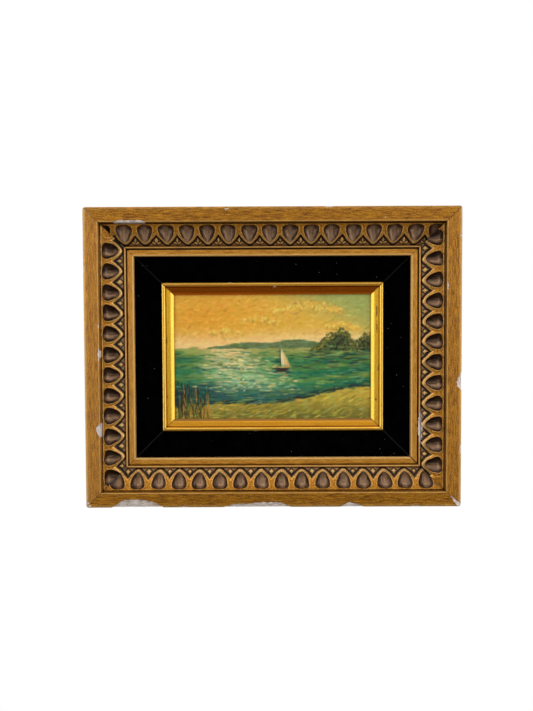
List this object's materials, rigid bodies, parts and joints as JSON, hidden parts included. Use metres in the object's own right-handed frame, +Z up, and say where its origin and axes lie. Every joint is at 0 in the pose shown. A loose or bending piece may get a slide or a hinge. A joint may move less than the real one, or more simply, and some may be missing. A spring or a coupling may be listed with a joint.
{
  "type": "framed oil painting",
  "caption": "Small oil painting on a canvas panel in a carved gilded frame with a black velvet liner and a gilt slip, hung from a sawtooth hanger.",
  "frame": {"origin": "middle of the hanger's back face, where the picture touches the wall", "axes": "+Z up, the painted face looks along -Y, +X to the right as seen from the front"},
  "size_m": [0.254, 0.0369, 0.2026],
  "materials": {
    "gilded_wood": "bronze-gilded gesso over wood, patinated",
    "velvet": "black velvet pile",
    "gilt_slip": "burnished gilding over wood",
    "canvas_board": "oil paint on primed canvas",
    "steel": "zinc-plated"
  },
  "bodies": {
    "root": {"canvas_panel": "canvas_board", "hanger": "steel", "hanger_nail_1": "steel", "hanger_nail_2": "steel", "liner_point_bottom_1": "steel", "liner_point_bottom_2": "steel", "liner_point_left_1": "steel", "liner_point_left_2": "steel", "liner_point_right_1": "steel", "liner_point_right_2": "steel", "liner_point_top_1": "steel", "liner_point_top_2": "steel", "panel_point_bottom": "steel", "panel_point_left": "steel", "panel_point_right": "steel", "panel_point_top": "steel", "rail_bottom": "gilded_wood", "rail_left": "gilded_wood", "rail_right": "gilded_wood", "rail_top": "gilded_wood", "slip_bottom": "gilt_slip", "slip_left": "gilt_slip", "slip_right": "gilt_slip", "slip_top": "gilt_slip", "velvet_bottom": "velvet", "velvet_left": "velvet", "velvet_right": "velvet", "velvet_top": "velvet"}
  },
  "joints": []
}
